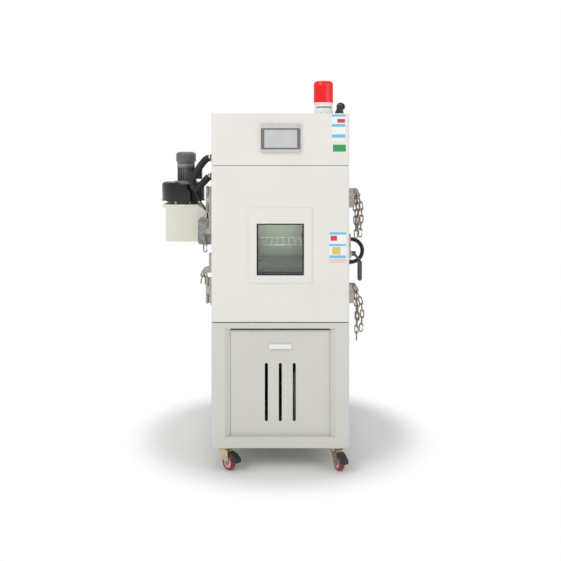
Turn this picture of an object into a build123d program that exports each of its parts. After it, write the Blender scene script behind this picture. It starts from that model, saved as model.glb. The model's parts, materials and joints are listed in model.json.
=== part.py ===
from build123d import *
import math
import os

# Environmental test chamber, in millimetres.
# The origin is on the floor under the middle of the cabinet: +X right, +Y to the back, +Z up.

# Cabinet
sheet = 2.0
cabinet_width = 680.0
cabinet_depth = 1050.0
caster_height = 113.0
plinth_height = 53.0
lower_height = 565.0
door_zone_height = 773.0
head_height = 256.0
front_corner_radius = 14.0
seat_gap = 0.3

# Plinth
plinth_bevel = 15.0
rail_width = 120.0
end_rail_width = 60.0
deck_thickness = 3.0

# Door
door_thickness = 70.0
door_gap = 5.0
door_skin_gap = 6.0
gasket_width = 20.0
gasket_margin = 14.0

# Window, its middle given from the middle of the chamber
window_width = 233.0
window_height = 255.0
window_drop = 27.0
trim_side = 38.0
trim_top = 76.0
trim_bottom = 37.0
trim_thickness = 5.0
pane_thickness = 5.0

# Test space
chamber_width = 400.0
chamber_height = 500.0
chamber_depth = 500.0
plenum_depth = 100.0
rear_insulation = 90.0
rail_spacing = 120.0
rail_count = 3
shelf_rail_index = 1
shelf_rail_width = 14.0
shelf_rail_height = 8.0
shelf_rod = 5.0

# Service panel and the slanted reveal round it
reveal_depth = 24.0
reveal_width = 27.0
panel_width = 490.0
panel_height = 521.0
panel_depth = 18.0
panel_side_gap = 1.5
panel_top_gap = 10.0
slot_width = 15.5
slot_length = 288.0
slot_pitch = 69.0
slot_rise = 71.0
pull_width = 109.0
pull_height = 22.6
pull_depth = 8.0
pull_drop = 68.0

# Operator panel
hmi_x = 2.0
hmi_z_drop = 123.0
hmi_plate = (216.0, 163.0, 4.0)
hmi_bezel = (196.0, 144.0, 7.0)
hmi_screen = (163.0, 90.0)
hmi_screen_rise = -3.0

# Machines in the space under the test space and behind it
fan_drop = 130.0
fan_radius = 80.0
fan_shaft_radius = 6.0
fan_hub_half = 16.0
fan_motor_length = 130.0
coil_rise = 30.0
coil_height = 130.0
coil_fins = 15
coil_fin_pitch = 20.0
coil_tube_radius = 6.0
compressor_x = -150.0
compressor_y = 120.0
compressor_radius = 90.0
compressor_height = 260.0
compressor_foot = 20.0
condenser_inset = 90.0
condenser_height = 400.0
condenser_half = 200.0
condenser_core = 50.0
condenser_shroud = 60.0
condenser_fan_radius = 140.0
condenser_post_radius = 8.0
pipe_radius = 5.0
pipe_rise = 70.0
tank_x = 160.0
tank_setback = 205.0
tank_size = (200.0, 240.0, 260.0)
tank_neck = (24.0, 25.0)

# Beacon on the roof, from the cabinet's right side and its front
beacon_side_inset = 121.0
beacon_front_inset = 125.0
beacon_radius = 49.0
beacon_base_height = 60.0
lens_height = 110.0
lens_wall = 2.5

# Cable elbow on the roof
elbow_side_inset = 40.0
elbow_radius = 15.0
elbow_turn = 14.0

# Hinges, one above and one below the middle of the door
hinge_offset = 26.0
hinge_height = 129.0
hinge_spread = 455.0
hinge_drop = 11.5
knuckle_radius = 7.0
pin_radius = 4.0
running_clearance = 0.05
hinge_leaf = 5.0

# Latch on the door's right edge
latch_drop = 51.5
latch_y_inset = 35.0
latch_plate = 8.0
latch_boss = 8.0
spindle_radius = 7.0
spindle_length = 10.0
lever_stand_out = 54.0
lever_length = 135.0
lever_radius = 11.5
lever_neck_radius = 6.0

# Chains: length, width and wire of one link
link_length = 49.0
link_width = 22.0
link_wire = 6.0
link_play = 3.0
chain_setback = 24.0
bracket_height = 96.0
bracket_cheek = 3.0
bracket_inside = 34.0
bracket_pin_radius = 3.0

# Conduit loop on the right side
conduit_setback = 63.0
conduit_drop = 48.5
conduit_bend = 58.0
conduit_radius = 10.4
gland_length = 19.0

# Blower on the left side, its axis and duct given from the cabinet's side and the door's back
blower_reach = 157.0
blower_setback = 205.0
duct_reach = 250.0
duct_rise = 379.0
duct_height = 190.0
duct_depth = 200.0
duct_corner = 12.0
duct_bevel = (45.0, 32.0)
duct_shoulder = 89.0
duct_flange = (19.0, 16.0)
ring_height = 17.5
ring_radius = 84.0
ring_shift = -15.0
scroll_height = 96.0
scroll_start = 80.0
scroll_end = 126.0
scroll_power = 1.43
scroll_wall = 3.0
scroll_rim = 4.0
scroll_bevel = 8.0
scroll_ceiling = 10.0
inlet_radius = 55.0
collar_radius = 40.0
collar_length = 45.0
collar_wall = 2.5
outlet_reach = 140.0
impeller_radius = 72.0
impeller_height = 66.0
blade_count = 22
motor_flange = (60.0, 6.0)
motor_core_radius = 38.0
motor_fin_radius = 45.0
motor_body_height = 68.0
motor_collar_radius = 46.0
motor_collar_height = 33.0
motor_fins = 24
cowl_radius = 52.0
cowl_height = 50.0
blower_shaft_radius = 6.0

# Junction box on the left side
junction_setback = 51.0
junction_rise = 372.0
junction_width = 76.0
junction_height = 131.0
junction_depth = 50.0
junction_lid = 3.0
lead_radius = 4.0

# Coolant hose on the left side: its corners as distances from the side and from the head's floor
hose_setback = 42.0
hose_radius = 17.5
hose_route = [(22.0, 37.0), (40.0, 27.0), (74.0, -16.0), (110.0, -82.0),
              (92.0, -128.0), (54.0, -94.0), (22.0, -58.0)]

# Casters: rest angle of each wheel's trail, measured from the front towards the right
wheel_radius = 37.5
wheel_width = 30.0
axle_radius = 5.0
caster_trail = 34.0
caster_side_inset = 63.0
caster_end_inset = 46.0
caster_plate = (75.0, 80.0, 4.0)
kingpin_radius = 6.0
race_radius = 28.0
fork_leg_x = 19.5
fork_leg = 3.0
brake_pin_radius = 3.0
brake_pin_height = 82.0
pedal_half = 17.0
caster_angles = {"front_left": 45.0, "front_right": 22.0, "rear_left": 60.0, "rear_right": 75.0}

# Levels and planes that follow from the sizes above
half_width = cabinet_width / 2
front_y = -cabinet_depth / 2
back_y = cabinet_depth / 2
split_y = front_y + door_thickness
plinth_top = caster_height + plinth_height
sill_z = plinth_top + lower_height
lintel_z = sill_z + door_zone_height
roof_z = lintel_z + head_height
door_z0 = sill_z + door_gap / 2
door_z1 = lintel_z - door_gap / 2
chamber_z = (sill_z + lintel_z) / 2
chamber_z0 = chamber_z - chamber_height / 2
chamber_z1 = chamber_z + chamber_height / 2
chamber_back_y = split_y + chamber_depth
duct_panel_y = chamber_back_y - plenum_depth
insulation_back_y = chamber_back_y + sheet + rear_insulation
window_z = chamber_z - window_drop
inner_skin_y = split_y - door_skin_gap
fan_z = chamber_z1 - fan_drop
fan_y = chamber_back_y - plenum_depth / 2
condenser_y = back_y - condenser_inset
condenser_z = plinth_top + condenser_height / 2
beacon_x = half_width - beacon_side_inset
beacon_y = front_y + beacon_front_inset
elbow_x = half_width - elbow_side_inset
hinge_x = -half_width - hinge_offset
hinge_z = chamber_z - hinge_drop
latch_y = front_y + latch_y_inset
latch_z = chamber_z - latch_drop
chain_y = split_y + chain_setback
conduit_y = split_y + conduit_setback
conduit_z = chamber_z - conduit_drop
hose_y = split_y + hose_setback
junction_y0 = split_y + junction_setback
junction_z0 = sill_z + junction_rise
blower_x = -half_width - blower_reach
blower_y = split_y + blower_setback
duct_left_x = -half_width - duct_reach
duct_shoulder_x = -half_width - duct_shoulder
duct_bottom_z = sill_z + duct_rise
duct_top_z = duct_bottom_z + duct_height
duct_y0 = blower_y - duct_depth / 2
duct_y1 = blower_y + duct_depth / 2
scroll_low_z = duct_top_z + ring_height
scroll_top_z = scroll_low_z + scroll_height
caster_x = half_width - caster_side_inset
caster_y = back_y - caster_end_inset
brake_pin_y = -caster_trail - 2

os.makedirs("parts", exist_ok=True)


def slab(x0, x1, y0, y1, z0, z1):
    """A block between two opposite corners."""
    return Pos((x0 + x1) / 2, (y0 + y1) / 2, (z0 + z1) / 2) * Box(abs(x1 - x0), abs(y1 - y0), abs(z1 - z0))


def upright(x, y, z0, z1, radius):
    """A round bar along Z."""
    return Pos(x, y, (z0 + z1) / 2) * Cylinder(radius, z1 - z0)


def bar_x(x0, x1, y, z, radius):
    """A round bar along X."""
    return Pos((x0 + x1) / 2, y, z) * Rot(0, 90, 0) * Cylinder(radius, abs(x1 - x0))


def bar_y(x, y0, y1, z, radius):
    """A round bar along Y."""
    return Pos(x, (y0 + y1) / 2, z) * Rot(90, 0, 0) * Cylinder(radius, abs(y1 - y0))


def profile(points, plane, thickness):
    """A flat outline, drawn in a plane and made thick to both sides."""
    return extrude(plane * make_face(Polyline(*points, close=True)), amount=thickness / 2, both=True)


def write(name, *solids):
    """One file for one named piece, or for a group of alike pieces."""
    shape = solids[0] if len(solids) == 1 else Compound(children=list(solids))
    export_step(shape, f"parts/{name}.step")


def tube_along(points, radius, shares=0.45):
    """A round tube along a route of straight runs, with each corner as wide as its runs allow."""
    corners = []
    for before, here, after in zip(points, points[1:], points[2:]):
        first = Vector(*here) - Vector(*before)
        second = Vector(*after) - Vector(*here)
        half_turn = math.radians(first.get_angle(second)) / 2
        corners.append(shares * min(first.length, second.length) / math.tan(half_turn))
    path = FilletPolyline(*points, radius=corners)
    return sweep(Plane(path @ 0, z_dir=path % 0) * Circle(radius), path=path)


def folded_front(z0, z1):
    """A block with the cabinet's two rounded upright front corners."""
    block = slab(-half_width, half_width, front_y, split_y, z0, z1)
    corners = block.edges().filter_by(Axis.Z).sort_by(Axis.Y)[:2]
    return fillet(corners, front_corner_radius)


def folded_inside(z0, z1):
    """The hollow behind such a folded front, open at the back."""
    block = slab(-half_width + sheet, half_width - sheet, front_y + sheet, split_y + sheet, z0, z1)
    corners = block.edges().filter_by(Axis.Z).sort_by(Axis.Y)[:2]
    return fillet(corners, front_corner_radius - sheet)


def plinth_outline():
    """The plinth's plan, with its front corners cut off."""
    return [(-half_width, back_y), (-half_width, front_y + plinth_bevel), (-half_width + plinth_bevel, front_y),
            (half_width - plinth_bevel, front_y), (half_width, front_y + plinth_bevel), (half_width, back_y)]


def make_plinth():
    deck_z = plinth_top - deck_thickness
    outline = make_face(Polyline(*plinth_outline(), close=True))
    block = Pos(0, 0, caster_height) * extrude(outline, amount=deck_z - caster_height)
    deck = Pos(0, 0, deck_z) * extrude(outline, amount=deck_thickness)
    rails = []
    for y0, y1 in ((front_y, front_y + end_rail_width), (back_y - end_rail_width, back_y)):
        rails.append(block & slab(-half_width, half_width, y0, y1, caster_height, deck_z))
    for side in (-1, 1):
        outer, inner = side * half_width, side * (half_width - rail_width)
        low, high = front_y + end_rail_width, back_y - end_rail_width
        rail = slab(inner, outer, low, high, caster_height, deck_z)
        pocket = slab(inner, outer - side * sheet, low + sheet, high - sheet,
                      caster_height + 2 * sheet, deck_z - sheet)
        rails.append(rail - pocket)
    return [deck] + rails


def make_lower_front():
    """Posts and top band with a slanted reveal that narrows to the service panel's throat."""
    top = sill_z - door_gap / 2
    throat_x = panel_width / 2 + panel_side_gap
    throat_z = plinth_top + seat_gap + panel_height + panel_top_gap
    mouth_x = throat_x + reveal_width
    mouth_z = throat_z + 4
    throat_y = front_y + reveal_depth
    back = throat_y + panel_depth + sheet

    def funnel(extra):
        mouth = Pos(0, front_y, 0) * face_xz(mouth_x + extra, plinth_top, mouth_z + extra)
        neck = Pos(0, throat_y, 0) * face_xz(throat_x + extra, plinth_top, throat_z + extra)
        straight = slab(-throat_x - extra, throat_x + extra, throat_y, back, plinth_top, throat_z + extra)
        return loft([mouth, neck]) + straight

    shell = folded_front(plinth_top, top) - folded_inside(plinth_top, top - sheet)
    return shell + (funnel(sheet) & folded_front(plinth_top, top)) - funnel(0)


def face_xz(half, z0, z1):
    """An upright rectangle that faces the front."""
    return Pos(0, 0, (z0 + z1) / 2) * (Plane.XZ * Rectangle(2 * half, z1 - z0))


def make_service_panel():
    front = front_y + reveal_depth
    z0 = plinth_top + seat_gap
    z1 = z0 + panel_height
    half = panel_width / 2
    tray = slab(-half, half, front, front + panel_depth, z0, z1)
    tray -= slab(-half + sheet, half - sheet, front + sheet, front + panel_depth + sheet, z0 + sheet, z1 - sheet)
    middle = z0 + slot_rise + slot_length / 2
    for step in (-1, 0, 1):
        slot = Plane.XZ * SlotOverall(slot_length, slot_width, rotation=90)
        tray -= Pos(step * slot_pitch, front + panel_depth, middle) * extrude(slot, amount=2 * panel_depth, both=True)
    pull_top = z1 - pull_drop
    pull = slab(-pull_width / 2, pull_width / 2, front - pull_depth, front, pull_top - pull_height, pull_top)
    pull = fillet(pull.edges().filter_by(Axis.Y), 3)
    finger_space = slab(-pull_width / 2 + 6, pull_width / 2 - 6, front - pull_depth + 2, front + 1,
                        pull_top - pull_height - 1, pull_top - 5)
    return tray, pull - finger_space


def make_side_panels():
    panels = []
    for side in (-1, 1):
        panels.append(slab(side * (half_width - sheet), side * half_width, split_y, back_y - sheet,
                           plinth_top, roof_z - sheet))
    return panels


def make_rear_panel():
    """The back sheet, with two fields of punched air slots by the machine space."""
    panel = slab(-half_width, half_width, back_y - sheet, back_y, plinth_top, roof_z - sheet)
    for column in (-1, 1):
        for row in range(9):
            z = plinth_top + 90 + row * 36
            slot = Pos(column * 130, back_y, z) * extrude(Plane.XZ * SlotOverall(180, 10), amount=10, both=True)
            panel -= slot
    return panel


def make_roof():
    """The top sheet with its side folds on the inner faces of the side panels."""
    roof = slab(-half_width, half_width, split_y, back_y, roof_z - sheet, roof_z)
    for side in (-1, 1):
        inner = side * (half_width - sheet)
        roof += slab(inner - side * sheet, inner, split_y + 10, back_y - 10, roof_z - 30, roof_z - sheet)
    return roof


def make_insulation():
    side_x = chamber_width / 2 + sheet
    front = split_y + sheet
    outer = half_width - sheet
    low, high = door_z0 + sheet, door_z1 - sheet
    slabs = [slab(side * side_x, side * outer, front, insulation_back_y, low, high) for side in (-1, 1)]
    slabs.append(slab(-side_x, side_x, front, insulation_back_y, low, chamber_z0 - sheet))
    slabs.append(slab(-side_x, side_x, front, insulation_back_y, chamber_z1 + sheet, high))
    rear = slab(-side_x, side_x, chamber_back_y + sheet, insulation_back_y, chamber_z0 - sheet, chamber_z1 + sheet)
    slabs.append(rear - bar_y(0, chamber_back_y, insulation_back_y + 1, fan_z, fan_shaft_radius + 4))
    return slabs


def shelf_rail_z(index):
    """The top of one pair of shelf rails."""
    return chamber_z + (index - (rail_count - 1) / 2) * rail_spacing - 20


def make_liner():
    """The stainless tank with its front flange and pressed shelf rails."""
    half = chamber_width / 2
    outer = half_width - sheet
    tank = slab(-half - sheet, half + sheet, split_y, chamber_back_y + sheet, chamber_z0 - sheet, chamber_z1 + sheet)
    flange = slab(-outer, outer, split_y, split_y + sheet, door_z0, door_z1)
    hollow = slab(-half, half, split_y - 1, chamber_back_y, chamber_z0, chamber_z1)
    liner = tank + flange - hollow
    liner -= bar_y(0, chamber_back_y - 1, chamber_back_y + 2 * sheet, fan_z, fan_shaft_radius + 4)
    for side in (-1, 1):
        for index in range(rail_count):
            top = shelf_rail_z(index)
            liner += slab(side * half, side * (half - shelf_rail_width), split_y + 40, duct_panel_y - 20,
                          top - shelf_rail_height, top)
    return liner


def make_shelf():
    """A wire shelf: a frame of round rod with cross rods welded under it."""
    half = chamber_width / 2 - 4
    front, back = split_y + 34, duct_panel_y - 16
    z = shelf_rail_z(shelf_rail_index) + seat_gap + shelf_rod / 2
    radius = shelf_rod / 2
    shelf = bar_x(-half, half, front, z, radius) + bar_x(-half, half, back, z, radius)
    for side in (-1, 1):
        shelf += bar_y(side * (half - radius), front, back, z, radius)
    count = 13
    for index in range(1, count):
        x = -half + index * 2 * half / count
        shelf += bar_y(x, front, back, z, radius * 0.7)
    return shelf


def make_duct_panel():
    """The folded panel in front of the plenum, with outlet slots above and return slots below."""
    half = chamber_width / 2 - 1
    low, high = chamber_z0 + seat_gap, chamber_z1 - seat_gap
    panel = slab(-half, half, duct_panel_y, duct_panel_y + sheet, low, high)
    for side in (-1, 1):
        panel += slab(side * (half - sheet), side * half, duct_panel_y, chamber_back_y, low, high)
    cutter = Plane.XZ * SlotOverall(chamber_width * 0.7, 9)
    for row in range(5):
        for z in (high - 40 - row * 22, low + 40 + row * 22):
            panel -= Pos(0, duct_panel_y, z) * extrude(cutter, amount=3 * sheet, both=True)
    return panel


def make_circulation_fan():
    """A six-bladed wheel with its shaft through the back wall."""
    hub = bar_y(0, fan_y - fan_hub_half, fan_y + fan_hub_half, fan_z, 3 * fan_shaft_radius)
    shaft = bar_y(0, fan_y, insulation_back_y + 40, fan_z, fan_shaft_radius)
    fan = hub + shaft
    for index in range(6):
        blade = Pos(0, 0, (fan_radius + 14) / 2) * Rot(0, 0, 32) * Box(46, 2, fan_radius - 14)
        fan += Pos(0, fan_y, fan_z) * Rot(0, index * 60, 0) * blade
    return fan


def make_fan_motor():
    start = insulation_back_y
    end = start + fan_motor_length
    motor = bar_y(0, start, start + 8, fan_z, 62)
    motor += bar_y(0, start + 8, end, fan_z, 50)
    motor += bar_y(0, end, end + 15, fan_z, 40)
    return motor - bar_y(0, start - 1, start + 41, fan_z, fan_shaft_radius + running_clearance)


def make_heater():
    """Three hairpin rods that stand out of the plenum's back wall."""
    rods = []
    for index in range(3):
        z = fan_z - fan_radius - 22 - index * 20
        back = chamber_back_y
        front = duct_panel_y + 30
        route = [(-110, back, z), (-110, front, z), (110, front, z), (110, back, z)]
        path = FilletPolyline(*route, radius=24)
        rods.append(sweep(Plane(path @ 0, z_dir=path % 0) * Circle(4), path=path))
    return rods


def make_evaporator():
    """A finned coil on two end plates that meet the liner's back wall."""
    low, high = chamber_z0 + coil_rise, chamber_z0 + coil_rise + coil_height
    front, back = duct_panel_y + 22, chamber_back_y - 20
    half = (coil_fins - 1) * coil_fin_pitch / 2
    rows = 4
    fins = []
    for index in range(coil_fins):
        x = -half + index * coil_fin_pitch
        reach = chamber_back_y if index in (0, coil_fins - 1) else back
        fins.append(slab(x - 0.8, x + 0.8, front, reach, low, high))
    coil = fins[0].fuse(*fins[1:])
    for row in range(rows):
        z = low + (row + 0.5) * coil_height / rows
        coil += bar_x(-half - coil_tube_radius, half + coil_tube_radius, (front + back) / 2, z, coil_tube_radius)
    return coil


def make_probes():
    probes = []
    for step in (0, 1):
        x = chamber_width / 2 - 60 - step * 30
        z = chamber_z1 - 22
        probe = bar_y(x, duct_panel_y - 70, duct_panel_y, z, 3) + bar_y(x, duct_panel_y - 6, duct_panel_y, z, 9)
        probes.append(probe)
    return probes


def make_lamp():
    """A round bulkhead lamp under the test space's ceiling."""
    lamp_y = split_y + 170
    body = upright(0, lamp_y, chamber_z1 - 10, chamber_z1, 42)
    dome = upright(0, lamp_y, chamber_z1 - 30, chamber_z1 - 10, 34)
    dome = fillet(dome.edges().group_by(Axis.Z)[0], 14)
    return body + dome


def make_compressor():
    """A welded can with a domed top, on three feet."""
    can_low = plinth_top + compressor_foot
    can = upright(compressor_x, compressor_y, can_low, can_low + compressor_height, compressor_radius)
    can = fillet(can.edges().group_by(Axis.Z)[-1], 58)
    can = fillet(can.edges().group_by(Axis.Z)[0], 18)
    for index in range(3):
        angle = math.radians(90 + index * 120)
        x = compressor_x + (compressor_radius + 2) * math.cos(angle)
        y = compressor_y + (compressor_radius + 2) * math.sin(angle)
        can += upright(x, y, plinth_top, can_low + 14, 14)
    return can


def make_condenser():
    """A finned block in a shroud with a round air hole, on the deck in front of the air slots."""
    low, high = plinth_top, plinth_top + condenser_height
    half = condenser_half
    front = condenser_y - condenser_shroud
    block = slab(-half, half, condenser_y, condenser_y + condenser_core, low, high)
    pitch = 20
    for index in range(int(2 * half / pitch) - 1):
        x = -half + pitch + index * pitch
        block -= slab(x - 6, x + 6, condenser_y + 4, condenser_y + condenser_core + 1, low + 10, high - 10)
    shroud = slab(-half, half, front, condenser_y, low, high)
    shroud -= slab(-half + sheet, half - sheet, front + sheet, condenser_y, low + sheet, high - sheet)
    shroud -= bar_y(0, front - 1, front + 2 * sheet, condenser_z, condenser_fan_radius + 8)
    post = bar_y(0, front + 10, condenser_y, condenser_z, condenser_post_radius)
    return block + shroud + post


def make_condenser_fan():
    """A five-bladed fan, bored to turn on the condenser's post."""
    front = condenser_y - condenser_shroud
    hub_radius = 36.0
    hub = bar_y(0, front + 4, front + 40, condenser_z, hub_radius)
    bore = bar_y(0, front + 9, front + 41, condenser_z, condenser_post_radius + running_clearance)
    inner = hub_radius - 6
    for index in range(5):
        blade = Box(80, 2, condenser_fan_radius - inner)
        blade = Pos(0, 0, (condenser_fan_radius + inner) / 2) * Rot(0, 0, 25) * blade
        hub += Pos(0, front + 26, condenser_z) * Rot(0, index * 72, 0) * blade
    return hub - bore


def make_pipes():
    """Copper lines from the compressor's top to the condenser's shroud and up to the coil's wall."""
    top = plinth_top + compressor_foot + compressor_height
    level = top + pipe_rise
    spread = 18.0
    hot_x, cold_x = compressor_x + spread, compressor_x - spread
    shroud_y = condenser_y - condenser_shroud
    hot_y, hot_z = shroud_y - 20, plinth_top + condenser_height - 20
    hot = [(hot_x, compressor_y, top), (hot_x, compressor_y, level), (hot_x, hot_y, level),
           (hot_x, hot_y, hot_z), (hot_x, shroud_y, hot_z)]
    cold_y, cold_z = insulation_back_y + 40, chamber_z0 + 90
    cold = [(cold_x, compressor_y, top), (cold_x, compressor_y, level), (cold_x, cold_y, level),
            (cold_x, cold_y, cold_z), (cold_x, insulation_back_y, cold_z)]
    pipes = []
    for route in (hot, cold):
        path = FilletPolyline(*route, radius=9)
        pipes.append(sweep(Plane(path @ 0, z_dir=path % 0) * Circle(pipe_radius), path=path))
    return pipes


def make_water_tank():
    """A moulded tank for the humidifier, with a filler neck."""
    width, depth, height = tank_size
    x0, y0 = tank_x - width / 2, front_y + tank_setback
    tank = slab(x0, x0 + width, y0, y0 + depth, plinth_top, plinth_top + height)
    tank = fillet(tank.edges().filter_by(Axis.Z), 18)
    neck_radius, neck_height = tank_neck
    top = plinth_top + height
    return tank + upright(x0 + width - 60, y0 + depth - 60, top, top + neck_height, neck_radius)


def make_head():
    """The head's folded front with its closed floor and top."""
    return folded_front(lintel_z, roof_z) - folded_inside(lintel_z + sheet, roof_z - sheet)


def make_hmi():
    """The raised plate, the bezel on it and the recessed touch screen."""
    z = roof_z - hmi_z_drop
    width, height, proud = hmi_plate
    plate = slab(hmi_x - width / 2, hmi_x + width / 2, front_y - proud, front_y, z - height / 2, z + height / 2)
    plate = fillet(plate.edges().filter_by(Axis.Y), 3)
    bezel_w, bezel_h, bezel_proud = hmi_bezel
    face = front_y - proud - bezel_proud
    bezel = slab(hmi_x - bezel_w / 2, hmi_x + bezel_w / 2, face, front_y - proud, z - bezel_h / 2, z + bezel_h / 2)
    bezel = fillet(bezel.edges().filter_by(Axis.Y), 5)
    screen_w, screen_h = hmi_screen
    screen_z = z + hmi_screen_rise
    recess = slab(hmi_x - screen_w / 2, hmi_x + screen_w / 2, face - 1, face + 3,
                  screen_z - screen_h / 2, screen_z + screen_h / 2)
    screen = slab(hmi_x - screen_w / 2, hmi_x + screen_w / 2, face + 1, face + 3,
                  screen_z - screen_h / 2, screen_z + screen_h / 2)
    return plate, bezel - recess, screen


def make_door_shell():
    """The outer skin: a deep tray with rounded front corners and a walled window opening."""
    outer = folded_front(door_z0, door_z1) - slab(-half_width, half_width, inner_skin_y, split_y, door_z0, door_z1)
    inside = folded_inside(door_z0 + sheet, door_z1 - sheet)
    half_w, half_h = window_width / 2, window_height / 2
    wall = slab(-half_w - sheet, half_w + sheet, front_y, inner_skin_y - sheet,
                window_z - half_h - sheet, window_z + half_h + sheet)
    hole = slab(-half_w, half_w, front_y - 1, split_y, window_z - half_h, window_z + half_h)
    return (outer - inside) + wall - hole


def make_door_inner():
    """The stainless inner skin, set inside the tray's rim."""
    rim = half_width - sheet
    plate = slab(-rim, rim, inner_skin_y - sheet, inner_skin_y, door_z0 + sheet, door_z1 - sheet)
    half_w, half_h = window_width / 2, window_height / 2
    return plate - slab(-half_w, half_w, inner_skin_y - 9, split_y, window_z - half_h, window_z + half_h)


def make_window():
    half_w, half_h = window_width / 2, window_height / 2
    trim = slab(-half_w - trim_side, half_w + trim_side, front_y - trim_thickness, front_y,
                window_z - half_h - trim_bottom, window_z + half_h + trim_top)
    trim = fillet(trim.edges().filter_by(Axis.Y), 2)
    trim -= slab(-half_w, half_w, front_y - 10, split_y, window_z - half_h, window_z + half_h)
    panes = []
    for y in (front_y, inner_skin_y - pane_thickness):
        panes.append(slab(-half_w, half_w, y, y + pane_thickness, window_z - half_h, window_z + half_h))
    return trim, panes


def make_gasket():
    """The soft seal round the test space's mouth, on the door."""
    half_w = chamber_width / 2 + gasket_margin
    half_h = chamber_height / 2 + gasket_margin
    back = split_y - seat_gap
    ring = slab(-half_w - gasket_width, half_w + gasket_width, inner_skin_y, back,
                chamber_z - half_h - gasket_width, chamber_z + half_h + gasket_width)
    return ring - slab(-half_w, half_w, inner_skin_y - 1, split_y, chamber_z - half_h, chamber_z + half_h)


def make_hinges():
    """Three-knuckle hinges: the cabinet's half holds the pin, the door's half turns on it."""
    cabinet_halves, door_halves = [], []
    third = hinge_height / 3
    side = -half_width
    for step in (-1, 1):
        low = hinge_z + step * hinge_spread / 2 - hinge_height / 2
        high = low + hinge_height
        pin = upright(hinge_x, split_y, low - 3, high + 3, pin_radius)
        leaf = slab(side - hinge_leaf, side, split_y + 6, split_y + 56, low, high)
        for z0, z1 in ((low, low + third - seat_gap), (high - third + seat_gap, high)):
            leaf += upright(hinge_x, split_y, z0, z1, knuckle_radius)
            leaf += slab(hinge_x, side - hinge_leaf + 2, split_y, split_y + 6, z0, z1)
            leaf += slab(side - hinge_leaf, side, split_y, split_y + 8, z0, z1)
        cabinet_halves.append(leaf + pin)
        z0, z1 = low + third, high - third
        door_leaf = slab(side - hinge_leaf, side, split_y - 56, inner_skin_y, low, high)
        door_leaf += slab(hinge_x, side - hinge_leaf + 2, split_y - 7, split_y - 1, z0, z1)
        door_leaf += slab(side - hinge_leaf, side, split_y - 8, split_y - 1, z0, z1)
        door_leaf += upright(hinge_x, split_y, z0, z1, knuckle_radius)
        door_halves.append(door_leaf - upright(hinge_x, split_y, z0 - 1, z1 + 1, pin_radius + running_clearance))
    return cabinet_halves, door_halves


def make_latch():
    """The base plate on the door's edge, and the bent lever on its spindle."""
    plate_x = half_width + latch_plate
    boss_x = plate_x + latch_boss
    spindle_x = boss_x + spindle_length
    plate = slab(half_width, plate_x, latch_y - 18, latch_y + 18, latch_z - 22, latch_z + 97)
    plate = fillet(plate.edges().filter_by(Axis.X), 6)
    base = plate + bar_x(plate_x, boss_x, latch_y, latch_z, 15)
    base += bar_x(boss_x, spindle_x, latch_y, latch_z, spindle_radius)

    lever_x = half_width + lever_stand_out
    low, high = latch_z - lever_length, latch_z - 37
    hub = bar_x(boss_x + seat_gap, spindle_x + 8, latch_y, latch_z, 12)
    route = [(spindle_x + 1, latch_y, latch_z - 2), (lever_x, latch_y, latch_z - 32), (lever_x, latch_y, high - 5)]
    path = FilletPolyline(*route, radius=10)
    neck = sweep(Plane(path @ 0, z_dir=path % 0) * Circle(lever_neck_radius), path=path)
    grip = upright(lever_x, latch_y, low, high, lever_radius)
    grip = fillet(grip.edges().group_by(Axis.Z)[-1], 5)
    grip = fillet(grip.edges().group_by(Axis.Z)[0], lever_radius - 0.5)
    bore = bar_x(half_width, spindle_x + seat_gap, latch_y, latch_z, spindle_radius + running_clearance)
    boss_space = slab(half_width, boss_x + seat_gap, latch_y - 30, latch_y + 30, latch_z - 60, latch_z + 60)
    return base, hub + neck + grip - bore - boss_space


def link(length=link_length, opening=0.0):
    """One chain link lying in the XZ plane, with an opening in one side if it is a hook."""
    outer = SlotOverall(length, link_width, rotation=90)
    inner = SlotOverall(length - 2 * link_wire, link_width - 2 * link_wire, rotation=90)
    ring = extrude(Plane.XZ * (outer - inner), amount=link_wire / 2, both=True)
    if opening:
        ring -= slab(0, link_width, -link_wire, link_wire, -opening / 2, opening / 2)
    return ring


def strand(top, side, y_offset, angles, hook):
    """Links that hang from a pin: each angle leans one link outwards from plumb."""
    pitch = link_length - 2 * link_wire - link_play
    first = math.radians(angles[0])
    rise = bracket_pin_radius + seat_gap + link_wire / 2
    x, z = top[0] - side * rise * math.sin(first), top[1] + rise * math.cos(first)
    links = []
    for index, angle in enumerate(angles):
        lean = math.radians(angle)
        step_x, step_z = side * math.sin(lean), -math.cos(lean)
        half_bar = (link_length - link_wire) / 2
        centre = (x + step_x * half_bar, chain_y + y_offset, z + step_z * half_bar)
        roll = 90 if index % 2 else 0
        is_last = index == len(angles) - 1
        shape = link(opening=14 if hook and is_last else 0)
        links.append(Pos(*centre) * Rot(0, -side * angle, 0) * Rot(0, 0, roll) * shape)
        x, z = x + step_x * pitch, z + step_z * pitch
    return links


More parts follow.
